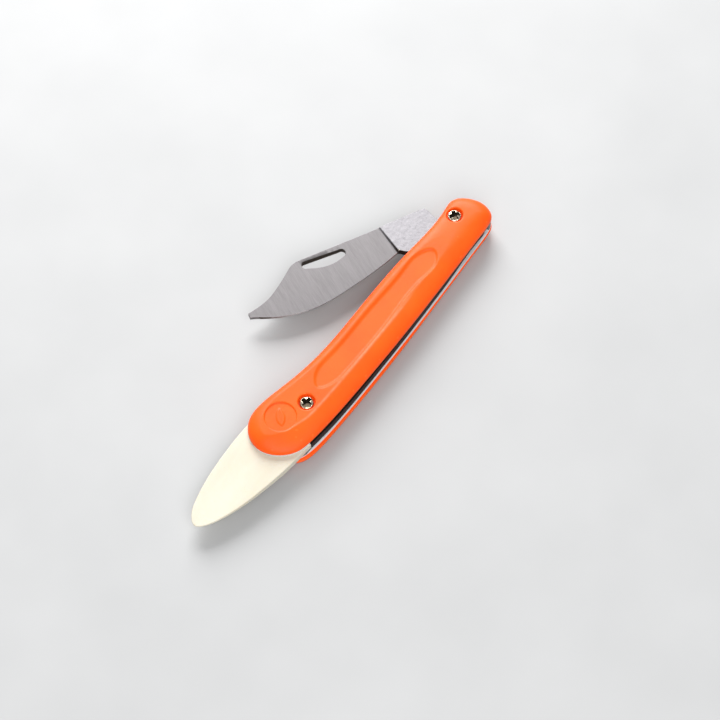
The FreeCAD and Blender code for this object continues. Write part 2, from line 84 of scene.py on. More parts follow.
BELLY = [
    (110.4, -0.4), (110.8, -5.2), (108.2, -10.2), (103.2, -13.0), (97.2, -13.0),
    (90.3, -11.5), (80.3, -9.2), (70.5, -7.8), (50.6, -7.0), (20.7, -5.8), (-1.0, -4.9),
    (-5.0, -5.0), (-7.3, -3.9), (-9.3, -1.2),
]
FRONT_BACK = [
    (-10.8, 4.1), (-9.9, 8.1), (-8.1, 10.3), (-4.9, 11.1), (0.8, 11.2), (13.1, 11.3),
    (30.1, 11.4), (50.1, 11.3), (70.1, 10.7), (90.1, 9.6), (98.1, 8.7), (104.0, 7.2),
    (108.0, 3.9),
]
REAR_BACK = [
    (-10.8, 4.2), (-9.9, 8.3), (-8.0, 10.6), (-4.9, 11.4), (0.8, 11.6), (13.1, 11.8),
    (30.1, 12.1), (48.1, 12.4), (69.1, 12.2), (84.1, 11.7), (92.1, 11.3), (99.0, 10.6),
    (104.5, 8.7), (108.1, 4.3),
]
REAR_LINER_BACK = [
    (-10.8, 4.2), (-9.9, 8.2), (-8.0, 10.4), (-4.9, 11.2), (0.8, 11.4), (13.1, 11.6),
    (30.1, 11.8), (48.1, 11.8), (69.1, 11.5), (84.1, 11.0), (92.1, 10.5), (98.6, 9.7),
    (104.4, 7.8), (108.1, 4.2),
]
RECESS_OUTLINE = [
    (16.0, 1.9), (18.3, 4.9), (27.0, 5.2), (49.0, 4.9), (71.0, 4.2), (79.0, 2.7),
    (82.3, -0.2), (80.0, -3.0), (70.5, -3.9), (49.0, -3.1), (29.0, -2.3), (19.0, -1.1),
]

# ---------------------------------------------------------------- curves

def spline(points, closed, step):
    """A smooth curve through the points, as a row of points about a step apart."""
    through = np.array(points, float)
    if closed:
        through = np.vstack([through, through[:1]])
    gap = np.linalg.norm(np.diff(through, axis=0), axis=1)
    at = np.concatenate([[0.0], np.cumsum(gap)])
    count = len(through)
    matrix = np.zeros((count, count))
    right = np.zeros((count, 2))
    slope = np.diff(through, axis=0) / gap[:, None]
    for row in range(1, count - 1):
        matrix[row, row - 1:row + 2] = gap[row - 1], 2 * (gap[row - 1] + gap[row]), gap[row]
        right[row] = 6 * (slope[row] - slope[row - 1])
    matrix[0, 0] = matrix[-1, -1] = 1.0
    if closed:
        matrix[0, -1] = -1.0
        matrix[-1, -1] = 0.0
        matrix[-1, 0], matrix[-1, 1] = 2 * (gap[-1] + gap[0]), gap[0]
        matrix[-1, -2] += gap[-1]
        right[-1] = 6 * (slope[0] - slope[-1])
    bend = np.linalg.solve(matrix, right)

    def place(where):
        piece = np.clip(np.searchsorted(at, where, side="right") - 1, 0, count - 2)
        wide = gap[piece][:, None]
        ahead = (at[piece + 1] - where)[:, None]
        behind = (where - at[piece])[:, None]
        return (
            bend[piece] * ahead ** 3 / (6 * wide) + bend[piece + 1] * behind ** 3 / (6 * wide)
            + (through[piece] / wide - bend[piece] * wide / 6) * ahead
            + (through[piece + 1] / wide - bend[piece + 1] * wide / 6) * behind
        )

    fine = place(np.linspace(0, at[-1], 40 * count))
    run = np.concatenate([[0.0], np.cumsum(np.linalg.norm(np.diff(fine, axis=0), axis=1))])
    parts = max(2, int(round(run[-1] / step)))
    even = np.interp(np.linspace(0, run[-1], parts + 1), run, np.linspace(0, at[-1], len(fine)))
    curve = place(even)
    return curve[:-1] if closed else curve


def straight(start, end, step):
    """Points from start to end, about a step apart."""
    start, end = np.array(start, float), np.array(end, float)
    parts = max(1, int(round(np.linalg.norm(end - start) / step)))
    share = np.linspace(0, 1, parts + 1)[:, None]
    return start + (end - start) * share


def turned_arc(centre, radius, start, end, parts):
    """Points on an arc, its angles in degrees."""
    angle = np.radians(np.linspace(start, end, parts + 1))
    return np.stack([centre[0] + radius * np.cos(angle), centre[1] + radius * np.sin(angle)], 1)


def arc_through(start, middle, end, parts):
    """Points on the arc through three points."""
    (ax, ay), (bx, by), (cx, cy) = start, middle, end
    double = 2 * (ax * (by - cy) + bx * (cy - ay) + cx * (ay - by))
    a2, b2, c2 = ax * ax + ay * ay, bx * bx + by * by, cx * cx + cy * cy
    mx = (a2 * (by - cy) + b2 * (cy - ay) + c2 * (ay - by)) / double
    my = (a2 * (cx - bx) + b2 * (ax - cx) + c2 * (bx - ax)) / double
    turn = [math.degrees(math.atan2(y - my, x - mx)) for x, y in (start, middle, end)]
    sweep, part = (turn[2] - turn[0]) % 360, (turn[1] - turn[0]) % 360
    if part > sweep:
        sweep -= 360
    return turned_arc((mx, my), math.hypot(ax - mx, ay - my), turn[0], turn[0] + sweep, parts)


def chain(*runs):
    """Runs of points that meet end to end, joined into one loop."""
    return np.vstack([run[:-1] for run in runs])


def area(loop):
    x, y = loop[:, 0], loop[:, 1]
    return 0.5 * np.sum(x * np.roll(y, -1) - np.roll(x, -1) * y)


def inset(loop, distance):
    """The loop moved inwards, by one distance or one for each point."""
    before, after = np.roll(loop, 1, axis=0), np.roll(loop, -1, axis=0)
    first, second = loop - before, after - loop
    first /= np.linalg.norm(first, axis=1)[:, None]
    second /= np.linalg.norm(second, axis=1)[:, None]
    normal = np.stack([-(first + second)[:, 1], (first + second)[:, 0]], 1)
    normal /= np.linalg.norm(normal, axis=1)[:, None]
    lean = np.sum(normal * np.stack([-first[:, 1], first[:, 0]], 1), axis=1)
    reach = np.broadcast_to(distance, len(loop)) / np.maximum(lean, 0.5)
    return loop + normal * reach[:, None] * math.copysign(1.0, area(loop))


# ---------------------------------------------------------------- solids from fields

def ramp(value, start, end):
    """0 at start and 1 at end, straight between them and level beyond."""
    return np.clip((value - start) / (end - start), 0, 1)


def eased(value, start, end):
    """A ramp that leaves its start and meets its end gently."""
    share = ramp(value, start, end)
    return share * share * (3 - 2 * share)


def soft_min(first, second, blend):
    """The lesser of two fields, rounded where they cross."""
    near = np.maximum(blend - np.abs(first - second), 0.0) / blend
    return np.minimum(first, second) - near * near * blend / 4


def cut_away(solid, cutter, blend):
    return soft_min(solid, -cutter, blend)


def added(solid, other, blend):
    return -soft_min(-solid, -other, blend)


def edge_distance(x, y, loop):
    """How far inside the loop each point is, negative outside."""
    start, end = loop, np.roll(loop, -1, axis=0)
    along = end - start
    length = np.sum(along * along, axis=1)
    result = np.empty(x.size)
    for first in range(0, x.size, 4000):
        px, py = x[first:first + 4000, None], y[first:first + 4000, None]
        rx, ry = px - start[:, 0], py - start[:, 1]
        share = np.clip((rx * along[:, 0] + ry * along[:, 1]) / length, 0, 1)
        gap = np.hypot(rx - share * along[:, 0], ry - share * along[:, 1]).min(axis=1)
        above = (start[:, 1] > py) != (end[:, 1] > py)
        slope = along[:, 0] / np.where(along[:, 1] == 0, 1.0, along[:, 1])
        crossings = np.sum(above & (rx < ry * slope), axis=1)
        result[first:first + 4000] = np.where(crossings % 2 == 1, gap, -gap)
    return result


def distance_map(loop, margin=2.0, pitch=0.2):
    """A function that reads the loop's edge distance from a fine grid."""
    low = loop.min(axis=0) - margin
    counts = np.ceil((loop.max(axis=0) + margin - low) / pitch).astype(int) + 1
    gx, gy = np.meshgrid(low[0] + pitch * np.arange(counts[0]),
                         low[1] + pitch * np.arange(counts[1]), indexing="ij")
    grid = edge_distance(gx.ravel(), gy.ravel(), loop).reshape(counts)

    def read(x, y):
        u = np.clip((x - low[0]) / pitch, 0, counts[0] - 1.001)
        v = np.clip((y - low[1]) / pitch, 0, counts[1] - 1.001)
        i, j = u.astype(int), v.astype(int)
        u, v = u - i, v - j
        return ((grid[i, j] * (1 - u) + grid[i + 1, j] * u) * (1 - v)
                + (grid[i, j + 1] * (1 - u) + grid[i + 1, j + 1] * u) * v)

    return read


def surface_net(field, low, high, cell):
    """Points and quads of the surface where the field is zero.  Solid is positive."""
    low, high = np.array(low, float), np.array(high, float)
    counts = np.ceil((high - low) / cell).astype(int) + 1
    axes = [low[k] + cell * np.arange(counts[k]) for k in range(3)]
    value = field(*np.meshgrid(*axes, indexing="ij"))
    solid = value > 0
    cells = counts - 1
    total = np.zeros((cells.prod(), 3))
    hits = np.zeros(cells.prod())
    strides = np.array([cells[1] * cells[2], cells[2], 1])
    quads = []
    for axis in range(3):
        here, there = [slice(None)] * 3, [slice(None)] * 3
        here[axis], there[axis] = slice(0, -1), slice(1, None)
        here, there = tuple(here), tuple(there)
        at = np.argwhere(solid[here] != solid[there])
        start = value[here][tuple(at.T)]
        share = start / (start - value[there][tuple(at.T)])
        place = at.astype(float)
        place[:, axis] += share
        one, two = (axis + 1) % 3, (axis + 2) % 3
        corners = []
        for back_one, back_two in ((0, 0), (1, 0), (1, 1), (0, 1)):
            owner = at.copy()
            owner[:, one] -= back_one
            owner[:, two] -= back_two
            index = owner @ strides
            np.add.at(total, index, place)
            np.add.at(hits, index, 1)
            corners.append(index)
        quad = np.stack(corners, 1)
        outward = solid[here][tuple(at.T)]
        quads.append(np.where(outward[:, None], quad, quad[:, ::-1]))
    used = np.flatnonzero(hits)
    number = np.zeros(len(hits), int)
    number[used] = np.arange(len(used))
    points = low + cell * total[used] / hits[used][:, None]
    return settle(field, points, cell), number[np.vstack(quads)]


def settle(field, points, cell, rounds=5, probe=0.02):
    """Moves each point onto the field's zero surface."""
    home = points.copy()
    for _ in range(rounds):
        value = field(*points.T)
        slope = np.empty_like(points)
        for axis in range(3):
            side = points.copy()
            side[:, axis] += probe
            slope[:, axis] = (field(*side.T) - value) / probe
        step = value / np.maximum(np.sum(slope * slope, axis=1), 0.05)
        points = points - slope * step[:, None]
        points = home + np.clip(points - home, -0.6 * cell, 0.6 * cell)
    return points


# ---------------------------------------------------------------- objects

def new_piece(name, points, faces, materials, body, replaced, face_materials=None):
    """A mesh object from points in millimetres, riding on a body."""
    mesh = bpy.data.meshes.new(name)
    mesh.from_pydata([tuple(point) for point in np.asarray(points) * MM], [],
                     [tuple(int(corner) for corner in face) for face in faces])
    for finish in materials:
        mesh.materials.append(finish)
    if face_materials is not None:
        mesh.polygons.foreach_set("material_index", np.array(face_materials, np.int32))
    mesh.polygons.foreach_set("use_smooth", np.ones(len(mesh.polygons), bool))
    mesh.validate()
    mesh.update()
    piece = bpy.data.objects.new(name, mesh)
    bpy.context.scene.collection.objects.link(piece)
    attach(piece, body)
    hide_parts(replaced)
    return piece


def sharpen(piece, degrees):
    """Marks sharp edges, and lets each wide face keep its own flat shading."""
    piece.data.set_sharp_from_angle(angle=math.radians(degrees))
    weighted = piece.modifiers.new("weighted", "WEIGHTED_NORMAL")
    weighted.keep_sharp = True
    bpy.context.view_layer.objects.active = piece
    bpy.ops.object.modifier_apply(modifier=weighted.name)


def plate(loops, half, edges, guides=()):
    """A plate about z = 0 whose outline and holes are loops.

    half(x, y) is half its thickness.  edges holds, for each loop, its rows as
    pairs of inset and drop that shape the edge from the rim to the face.
    guides are open lines that the faces' mesh follows.
    """
    points, faces = [], []
    inner_loops = []
    for loop, rows in zip(loops, edges):
        outer = loop is loops[0]
        sign = 1.0 if outer else -1.0
        rings = []
        for distance, drop in rows:
            flat = inset(loop, sign * np.asarray(distance))
            rings.append((flat, half(flat[:, 0], flat[:, 1]) - drop))
        inner_loops.append(rings[-1])
        count = len(loop)
        first = len(points)
        order = [(flat, -tall) for flat, tall in reversed(rings)] + rings
        for flat, tall in order:
            points.extend(np.column_stack([flat, tall]).tolist())
        anticlockwise = (area(loop) > 0) == outer
        for row in range(len(order) - 1):
            low, high = first + row * count, first + (row + 1) * count
            for step in range(count):
                after = (step + 1) % count
                quad = [low + step, low + after, high + after, high + step]
                faces.append(quad if anticlockwise else quad[::-1])
    ring_points = np.vstack([flat for flat, tall in inner_loops])
    flat_points = [Vector(pair) for pair in ring_points]
    lines, start = [], 0
    for flat, tall in inner_loops:
        count = len(flat)
        lines += [(start + step, start + (step + 1) % count) for step in range(count)]
        start += count
    for guide in guides:
        lines += [(len(flat_points) + step, len(flat_points) + step + 1)
                  for step in range(len(guide) - 1)]
        flat_points += [Vector(pair) for pair in guide]
    found = geometry.delaunay_2d_cdt(flat_points, lines, [], 0, 1e-5)
    spots = np.array([tuple(spot) for spot in found[0]])
    kept = []
    for triangle in found[2]:
        centre = spots[list(triangle)].mean(axis=0)
        inside = [edge_distance(centre[:1], centre[1:], flat)[0] > 0 for flat, tall in inner_loops]
        if inside[0] and not any(inside[1:]):
            kept.append(triangle)
    tall = half(spots[:, 0], spots[:, 1])
    for side in (1.0, -1.0):
        first = len(points)
        points.extend(np.column_stack([spots, side * tall]).tolist())
        for triangle in kept:
            corners = [first + corner for corner in triangle]
            faces.append(corners if side > 0 else corners[::-1])
    return weld(np.array(points), faces)


def weld(points, faces, reach=1e-4):
    """Joins points that share a place and drops those that no face uses."""
    shape = bmesh.new()
    corners = [shape.verts.new(point) for point in points]
    for face in faces:
        shape.faces.new([corners[corner] for corner in face])
    bmesh.ops.remove_doubles(shape, verts=shape.verts, dist=reach)
    bmesh.ops.delete(shape, geom=[v for v in shape.verts if not v.link_faces], context="VERTS")
    bmesh.ops.recalc_face_normals(shape, faces=shape.faces)
    shape.verts.index_update()
    result = np.array([tuple(corner.co) for corner in shape.verts])
    polygons = [[corner.index for corner in face.verts] for face in shape.faces]
    shape.free()
    return result, polygons


# ---------------------------------------------------------------- material helpers

def principled(name, **values):
    """A new material with one Principled shader and its plain values set."""
    finish = bpy.data.materials.new(name)
    finish.use_nodes = True
    shader = finish.node_tree.nodes["Principled BSDF"]
    for socket, value in values.items():
        shader.inputs[socket.replace("_", " ")].default_value = value
    return finish, finish.node_tree, shader


def linear(red, green, blue):
    """A screen colour, 0 to 255, as the linear colour that a shader takes."""
    shares = [channel / 255 for channel in (red, green, blue)]
    return tuple(s / 12.92 if s <= 0.04045 else ((s + 0.055) / 1.055) ** 2.4 for s in shares) + (1.0,)


def coordinates(tree, turn=0.0, stretch=(1.0, 1.0, 1.0)):
    """The part's own coordinates in millimetres, turned about Z and stretched."""
    place = tree.nodes.new("ShaderNodeTexCoord")
    mapping = tree.nodes.new("ShaderNodeMapping")
    mapping.vector_type = "POINT"
    mapping.inputs["Rotation"].default_value = (0.0, 0.0, math.radians(turn))
    scale = tree.nodes.new("ShaderNodeVectorMath")
    scale.operation = "MULTIPLY"
    scale.inputs[1].default_value = tuple(MM_PER_METRE * share for share in stretch)
    tree.links.new(place.outputs["Object"], mapping.inputs["Vector"])
    tree.links.new(mapping.outputs["Vector"], scale.inputs[0])
    return scale.outputs["Vector"]


def noise(tree, vector, scale, detail=2.0, rough=0.5):
    node = tree.nodes.new("ShaderNodeTexNoise")
    node.inputs["Scale"].default_value = scale
    node.inputs["Detail"].default_value = detail
    node.inputs["Roughness"].default_value = rough
    tree.links.new(vector, node.inputs["Vector"])
    return node.outputs["Fac"]


def spread(tree, value, low, high, to_low=0.0, to_high=1.0):
    """The value's range from low to high, stretched to another range."""
    node = tree.nodes.new("ShaderNodeMapRange")
    node.inputs["From Min"].default_value = low
    node.inputs["From Max"].default_value = high
    node.inputs["To Min"].default_value = to_low
    node.inputs["To Max"].default_value = to_high
    tree.links.new(value, node.inputs["Value"])
    return node.outputs["Result"]


def blend_colours(tree, share, first, second):
    node = tree.nodes.new("ShaderNodeMix")
    node.data_type = "RGBA"
    tree.links.new(share, node.inputs["Factor"])
    for socket, value in ((node.inputs["A"], first), (node.inputs["B"], second)):
        target = [s for s in node.inputs if s.name == socket.name and s.type == "RGBA"][0]
        if isinstance(value, tuple):
            target.default_value = value
        else:
            tree.links.new(value, target)
    return [s for s in node.outputs if s.type == "RGBA"][0]


def maths(tree, operation, first, second):
    node = tree.nodes.new("ShaderNodeMath")
    node.operation = operation
    for socket, value in ((node.inputs[0], first), (node.inputs[1], second)):
        if isinstance(value, (int, float)):
            socket.default_value = value
        else:
            tree.links.new(value, socket)
    return node.outputs["Value"]


def bump(tree, shader, height, depth_mm, before=None):
    """Adds relief of that depth to the shader, over any relief before it."""
    node = tree.nodes.new("ShaderNodeBump")
    node.inputs["Strength"].default_value = 1.0
    node.inputs["Distance"].default_value = depth_mm * MM
    tree.links.new(height, node.inputs["Height"])
    if before is not None:
        tree.links.new(before, node.inputs["Normal"])
    tree.links.new(node.outputs["Normal"], shader.inputs["Normal"])
    return node.outputs["Normal"]


# ---------------------------------------------------------------- materials

def orange_plastic():
    """Satin moulded orange plastic with fine handling scratches; its convex edges and the back crease
    are painted paler, part scuffing from handling and part painted highlight.
    """
    finish, tree, shader = principled(
        "orange_plastic", IOR=1.46, Subsurface_Weight=0.04, Subsurface_Scale=0.001)
    shader.inputs["Subsurface Radius"].default_value = (1.0, 0.35, 0.12)
    shader.inputs["Specular IOR Level"].default_value = 0.28
    place = coordinates(tree)
    clouds = spread(tree, noise(tree, place, 0.09, 3.0), 0.3, 0.7)
    colour = blend_colours(tree, clouds, (0.95, 0.088, 0.002, 1.0), (0.97, 0.104, 0.003, 1.0))
    specks = spread(tree, noise(tree, place, 3.2, 2.0), 0.62, 0.78)
    colour = blend_colours(tree, maths(tree, "MULTIPLY", specks, 0.16), colour, linear(255, 122, 36))
    # Painted highlight: convex edges, found by pointiness, are blended paler, part scuffing from
    # handling and part painted highlight.
    edge = tree.nodes.new("ShaderNodeNewGeometry").outputs["Pointiness"]
    edge_wear_and_highlight = maths(tree, "MULTIPLY", spread(tree, edge, 0.52, 0.60), 0.2)
    colour = blend_colours(tree, edge_wear_and_highlight, colour, linear(255, 132, 60))
    # Painted highlight: the crease beside the back is blended pale by the share stored on the scale,
    # part scuffing from handling and part painted highlight.
    wear_and_highlight_node = tree.nodes.new("ShaderNodeAttribute")
    wear_and_highlight_node.attribute_name = "wear_and_highlight"
    patchy = spread(tree, noise(tree, place, 0.5, 3.0), 0.25, 0.7, 0.25, 0.55)
    colour = blend_colours(tree, maths(tree, "MULTIPLY", wear_and_highlight_node.outputs["Fac"], patchy), colour,
                           linear(255, 148, 116))
    tree.links.new(colour, shader.inputs["Base Color"])
    lengthways = coordinates(tree, 3.0, (0.12, 2.6, 2.6))
    crossways = coordinates(tree, 52.0, (0.15, 2.2, 2.2))
    scratches = maths(tree, "MAXIMUM", spread(tree, noise(tree, lengthways, 1.0, 3.0), 0.64, 0.74),
                      spread(tree, noise(tree, crossways, 0.8, 2.0), 0.69, 0.78))
    haze = spread(tree, noise(tree, place, 0.35, 4.0), 0.3, 0.75, 0.40, 0.50)
    tree.links.new(maths(tree, "ADD", haze, maths(tree, "MULTIPLY", scratches, 0.12)),
                   shader.inputs["Roughness"])
    peel = bump(tree, shader, noise(tree, place, 0.9, 3.0), 0.03)
    bump(tree, shader, maths(tree, "MULTIPLY", scratches, -1.0), 0.006, peel)
    return finish


def white_plastic():
    """Cream plastic, a little translucent, with faint flow marks and scuffs."""
    finish, tree, shader = principled(
        "white_plastic", IOR=1.49, Subsurface_Weight=0.25, Subsurface_Scale=0.0015)
    shader.inputs["Subsurface Radius"].default_value = (1.0, 0.8, 0.5)
    place = coordinates(tree)
    flow = spread(tree, noise(tree, coordinates(tree, 0.0, (0.25, 1.0, 1.0)), 0.16, 4.0), 0.3, 0.7)
    colour = blend_colours(tree, flow, linear(208, 203, 187), linear(202, 195, 177))
    dots = spread(tree, noise(tree, place, 2.4, 1.0), 0.70, 0.78)
    colour = blend_colours(tree, maths(tree, "MULTIPLY", dots, 0.25), colour, linear(176, 160, 134))
    tree.links.new(colour, shader.inputs["Base Color"])
    scuffs = spread(tree, noise(tree, coordinates(tree, 20.0, (0.2, 3.0, 3.0)), 1.0, 3.0), 0.62, 0.75)
    haze = spread(tree, noise(tree, place, 0.5, 3.0), 0.3, 0.7, 0.34, 0.46)
    tree.links.new(maths(tree, "ADD", haze, maths(tree, "MULTIPLY", scuffs, 0.12)),
                   shader.inputs["Roughness"])
    ripple = bump(tree, shader, noise(tree, place, 0.7, 3.0), 0.03)
    bump(tree, shader, maths(tree, "MULTIPLY", scuffs, -1.0), 0.005, ripple)
    return finish


def ground_steel():
    """The blade's ground faces: grey, with fine wheel lines across the blade."""
    finish, tree, shader = principled("blade_steel_ground", Metallic=1.0)
    grain = coordinates(tree, 24.0, (5.0, 0.15, 1.0))
    fine = noise(tree, grain, 1.6, 4.0, 0.7)
    broad = noise(tree, coordinates(tree, 24.0, (0.9, 0.06, 1.0)), 0.8, 3.0, 0.6)
    lines = maths(tree, "ADD", maths(tree, "MULTIPLY", fine, 0.6), maths(tree, "MULTIPLY", broad, 0.4))
    tone = spread(tree, lines, 0.32, 0.68)
    colour = blend_colours(tree, tone, linear(113, 110, 111), linear(134, 131, 132))
    tree.links.new(colour, shader.inputs["Base Color"])
    tree.links.new(spread(tree, lines, 0.3, 0.7, 0.50, 0.40), shader.inputs["Roughness"])
    bump(tree, shader, fine, 0.005)
    return finish


def frosted_steel():
    """The tang's unground faces: pale, mottled, blasted steel."""
    finish, tree, shader = principled("blade_steel_tang", Metallic=1.0)
    place = coordinates(tree)
    blots = spread(tree, noise(tree, place, 0.55, 5.0, 0.65), 0.32, 0.68)
    colour = blend_colours(tree, blots, linear(119, 117, 120), linear(141, 139, 142))
    tree.links.new(colour, shader.inputs["Base Color"])
    tree.links.new(spread(tree, blots, 0.0, 1.0, 0.44, 0.54), shader.inputs["Roughness"])
    grit = bump(tree, shader, noise(tree, place, 6.0, 3.0, 0.7), 0.02)
    bump(tree, shader, noise(tree, place, 0.8, 4.0), 0.05, grit)
    return finish


def honed_steel():
    """The narrow bevel along the cutting edge; its warm grey is a painted reflection of the orange
    handle.
    """
    finish, tree, shader = principled("blade_steel_edge", Metallic=1.0)
    streak = noise(tree, coordinates(tree, -30.0, (6.0, 0.4, 1.0)), 1.4, 3.0)
    colour = blend_colours(tree, spread(tree, streak, 0.3, 0.7), linear(146, 134, 116),
                           linear(196, 186, 168))
    tree.links.new(colour, shader.inputs["Base Color"])
    tree.links.new(spread(tree, streak, 0.3, 0.7, 0.18, 0.32), shader.inputs["Roughness"])
    bump(tree, shader, streak, 0.004)
    return finish


def cut_steel(name, dark, pale, rough_low, rough_high, metal=1.0):
    """Sheet steel with a rolled grain along X and spots of dirt."""
    finish, tree, shader = principled(name, Metallic=metal)
    grain = noise(tree, coordinates(tree, 0.0, (0.25, 5.0, 5.0)), 1.2, 4.0, 0.6)
    spots = spread(tree, noise(tree, coordinates(tree), 0.8, 4.0), 0.55, 0.75)
    colour = blend_colours(tree, spread(tree, grain, 0.3, 0.7), dark, pale)
    colour = blend_colours(tree, maths(tree, "MULTIPLY", spots, 0.3), colour,
                           tuple(0.45 * channel for channel in dark[:3]) + (1.0,))
    tree.links.new(colour, shader.inputs["Base Color"])
    rough = spread(tree, grain, 0.3, 0.7, rough_low, rough_high)
    tree.links.new(maths(tree, "ADD", rough, maths(tree, "MULTIPLY", spots, 0.15)),
                   shader.inputs["Roughness"])
    bump(tree, shader, grain, 0.01)
    return finish


def plated_steel(name, dark, pale):
    """Bright nickel plate with tiny pits and a warm stain in patches."""
    finish, tree, shader = principled(name, Metallic=1.0)
    place = coordinates(tree)
    stain = spread(tree, noise(tree, place, 1.3, 4.0, 0.6), 0.35, 0.7)
    colour = blend_colours(tree, stain, dark, pale)
    tree.links.new(colour, shader.inputs["Base Color"])
    tree.links.new(spread(tree, noise(tree, place, 4.0, 3.0), 0.3, 0.7, 0.16, 0.30),
                   shader.inputs["Roughness"])
    bump(tree, shader, noise(tree, place, 5.0, 3.0, 0.7), 0.012)
    return finish


ORANGE = orange_plastic()
CREAM = white_plastic()
GROUND = ground_steel()
FROSTED = frosted_steel()
HONED = honed_steel()
# Painted shade: dark brown steel for the blade's upright cut walls, standing in for the shade on the
# walls of the thumb slot, the heel, the spine and the tang.
SHADED_WALL_STEEL = cut_steel("blade_steel_shaded_wall", linear(60, 52, 46), linear(92, 82, 74), 0.45, 0.6)
# Painted shade and painted highlight: the liners' inner faces get a darker grey copy of the liner
# steel, painted shade for the gap between the liners; the liner steel itself is pale and only partly
# metallic, a painted highlight for the bright reflection along the rear liner's ledge.
GAP_SHADE_STEEL = cut_steel("liner_steel_gap_shade", linear(96, 96, 98), linear(128, 128, 130), 0.45, 0.6, 0.6)
LINER = cut_steel("liner_steel", linear(226, 228, 232), linear(242, 244, 248), 0.30, 0.38, 0.35)
# Painted shade: the spring steel is near black, standing in for the shadow and the dark reflections on
# the spring's back wall.
SHADED_SPRING = cut_steel("spring_steel", linear(32, 33, 33), linear(54, 55, 55), 0.50, 0.64)
RIVET = cut_steel("rivet_steel", linear(150, 148, 146), linear(190, 188, 186), 0.3, 0.45)
SCREW = plated_steel("plated_screw", linear(150, 138, 108), linear(234, 228, 210))
# Painted shade: a near-black plate for the screw heads' cross recesses, standing in for the shade deep
# inside them.
SHADED_HOLLOW = plated_steel("plated_screw_shaded_hollow", linear(26, 22, 18), linear(58, 50, 40))
NUT = plated_steel("plated_nut", linear(180, 176, 166), linear(226, 224, 218))

# ---------------------------------------------------------------- scales

SCALE_CELL = 0.27
MARGIN_ROUND = 1.0
MARGIN_ABOVE = 0.45


def disc(x, y, centre, radius):
    return radius - np.hypot(x - centre[0], y - centre[1])


def flank_width(x, y):
    """How wide the crown's curved flank is beside each place, wider at the back."""
    rise = eased(y, -5.0, 4.0)
    side = FLANK_BELLY + (FLANK_BACK - FLANK_BELLY) * rise
    tail = eased(x, 92.0, 104.0)
    nose = eased(x, 1.0, -7.0)
    at_tail = FLANK_END + (FLANK_TAIL_BACK - FLANK_END) * rise
    return side + (at_tail - side) * tail + (FLANK_END - side) * nose


def crease_wear_and_highlight(x, y, inside):
    """1 on the crease beside the back, painted pale as part scuffing from handling and part painted
    highlight, 0 away from it.
    """
    line = np.exp(-((inside - flank_width(x, y)) / CREASE_HIGHLIGHT_WIDE) ** 2)
    stretch = ramp(x, 34.0, 44.0) * ramp(x, 103.0, 99.0)
    return line * stretch * ramp(y, -1.0, 1.0)


def leaf_field(x, y, w):
    """A raised leaf with a midrib, on the medallion's floor."""
    cx, cy = MEDALLION_CENTRE
    half_long, half_wide = 3.4, 1.5
    radius = (half_long ** 2 + half_wide ** 2) / (2 * half_wide)
    along = ((x - cx) + (y - cy)) / math.sqrt(2)
    across = ((x - cx) - (y - cy)) / math.sqrt(2)
    upper = radius - np.hypot(along, across + (radius - half_wide))
    lower = radius - np.hypot(along, across - (radius - half_wide))
    inside = np.minimum(upper, lower)
    rib = 0.35 * np.exp(-(across / 0.22) ** 2)
    fall = 0.12 * ramp(np.abs(across), 0.0, half_wide)
    top = SCALE_THICK - MEDALLION_DEEP + 0.30 - fall - rib * 0.5
    return soft_min(inside * 0.8, top - w, 0.2)


def scale_field(edge_map, recess_map, front):
    """The field of one scale, w millimetres above its parting face."""
    def field(x, y, w):
        inside = edge_map(x, y)
        blend = CREASE_BLEND + NOSE_BLEND * ramp(x, 16.0, 4.0)
        share = soft_min(inside / flank_width(x, y), np.ones_like(inside), blend)
        across = 1 - share * (1 - math.cos(CROWN_TOP_ANGLE))
        up = np.maximum(w - WALL_LAND, 0.0) / (SCALE_THICK - WALL_LAND) * math.sin(CROWN_TOP_ANGLE)
        solid = (1 - np.hypot(across, up)) * 4.0
        solid = soft_min(solid, w, 0.2)
        groove = soft_min(recess_map(x, y), w - (SCALE_THICK - RECESS_DEEP), 0.9)
        solid = cut_away(solid, groove, 0.6)
        for centre in SCREWS:
            solid = cut_away(solid, disc(x, y, centre, SHANK_HOLE_RADIUS), 0.15)
            if front:
                seat = soft_min(disc(x, y, centre, SEAT_RADIUS), w - (SCALE_THICK - SEAT_DEEP), 0.1)
                solid = cut_away(solid, seat, 0.35)
            else:
                pocket = soft_min(hexagon(x, y, centre, NUT_POCKET_FLATS / 2),
                                  w - (SCALE_THICK - NUT_POCKET_DEEP), 0.1)
                solid = cut_away(solid, pocket, 0.25)
        for centre in RIVETS:
            relief = np.minimum(disc(x, y, centre, RIVET_RELIEF_RADIUS), RIVET_RELIEF_DEEP - w)
            solid = cut_away(solid, relief, 0.1)
        if front:
            round_floor = soft_min(disc(x, y, MEDALLION_CENTRE, MEDALLION_RADIUS),
                                   w - (SCALE_THICK - MEDALLION_DEEP), 0.2)
            solid = cut_away(solid, round_floor, 0.15)
            leaf = np.minimum(leaf_field(x, y, w), w - 2.0)
            solid = added(solid, leaf, 0.15)
        return solid
    return field


def hexagon(x, y, centre, half_flats):
    """How far inside a hexagon with two flats along X, negative outside."""
    px, py = np.abs(x - centre[0]), np.abs(y - centre[1])
    return half_flats - np.maximum(py, px * math.cos(math.radians(30)) + py * 0.5)


RECESS_MAP = distance_map(spline(RECESS_OUTLINE, True, OUTLINE_STEP))


